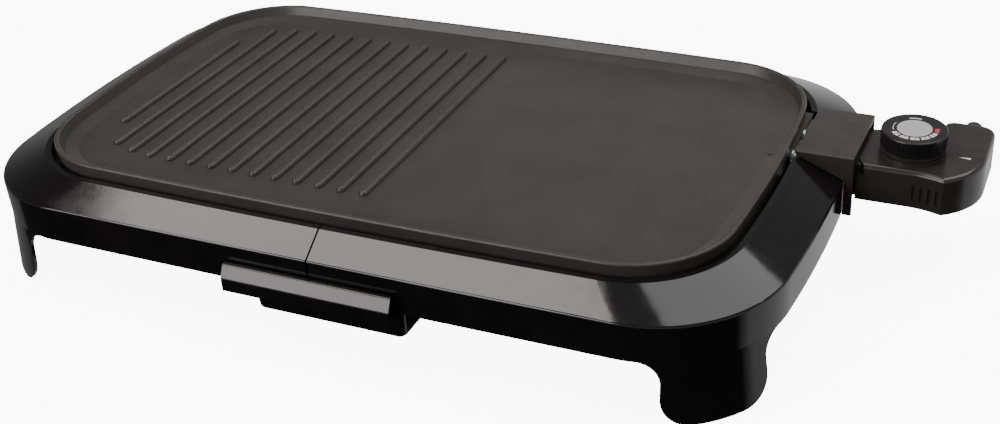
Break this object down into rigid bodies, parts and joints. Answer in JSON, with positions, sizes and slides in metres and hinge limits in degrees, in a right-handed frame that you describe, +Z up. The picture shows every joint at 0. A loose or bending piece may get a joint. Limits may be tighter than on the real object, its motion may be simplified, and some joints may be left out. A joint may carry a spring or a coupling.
{
  "type": "electric griddle",
  "caption": "Tabletop electric griddle: part-ribbed cast plate on a split plastic base, slide-out drip tray, hooded socket and plug-in temperature control with dial.",
  "frame": {"origin": "on the plane the feet stand on, below the middle of the whole object's footprint, control and tray handle included", "axes": "+X along the long side towards the plug-in control, +Y away from the drip tray's side, +Z up"},
  "size_m": [0.631, 0.3358, 0.0928],
  "materials": {
    "base_plastic": "glossy black moulded thermoset-look plastic",
    "tray_plastic": "glossy black moulded plastic",
    "nonstick_coating": "die-cast aluminium under a dark speckled non-stick coating",
    "hood_plastic": "black plastic with a finely matted roof",
    "control_plastic": "glossy black moulded plastic",
    "dial_plastic": "satin black plastic",
    "dial_silver": "pale silver sprayed disc",
    "zinc_steel": "zinc-plated steel",
    "stainless": "stainless steel tube",
    "brass": "nickel-free brass",
    "steatite": "off-white fired ceramic",
    "soft_gland": "black flexible cord gland"
  },
  "bodies": {
    "base": {"base_left": "base_plastic", "base_right": "base_plastic", "seam_screws": "zinc_steel", "seam_nuts": "zinc_steel", "tray_rail_left": "zinc_steel", "tray_rail_right": "zinc_steel", "rail_screws": "zinc_steel"},
    "tray": {"drip_tray": "tray_plastic"},
    "plate": {"griddle_plate": "nonstick_coating", "heating_element": "stainless", "terminal_bracket": "zinc_steel", "terminal_bushes": "steatite", "terminal_pins": "stainless", "bracket_screws": "zinc_steel", "socket_hood": "hood_plastic", "hood_screws": "zinc_steel"},
    "control": {"control_housing": "control_plastic", "control_cover": "control_plastic", "cover_screws": "zinc_steel", "probe_rod": "stainless", "pin_receptacles": "brass", "receptacle_block": "steatite", "thermostat_frame": "zinc_steel", "contact_stack": "steatite", "lower_contact_blade": "brass", "upper_contact_blade": "brass", "wiring_block": "brass", "cord_gland": "soft_gland"},
    "dial": {"dial_knob": "dial_plastic", "dial_disc": "dial_silver", "dial_spindle": "brass"}
  },
  "joints": [
    {"name": "tray_slide", "type": "slide", "parent": "base", "child": "tray", "axis": [0, -1, 0], "range_m": [0, 0.14]},
    {"name": "plate_lift", "type": "slide", "parent": "base", "child": "plate", "axis": [0, 0, 1], "range_m": [0, 0.06]},
    {"name": "control_unplug", "type": "slide", "parent": "plate", "child": "control", "axis": [1, 0, 0], "range_m": [0, 0.11]},
    {"name": "dial_turn", "type": "hinge", "parent": "control", "child": "dial", "pos_m": [0.2703, 0.0607, 0.082], "axis": [0, 0, 1], "range_deg": [0, 270]}
  ]
}
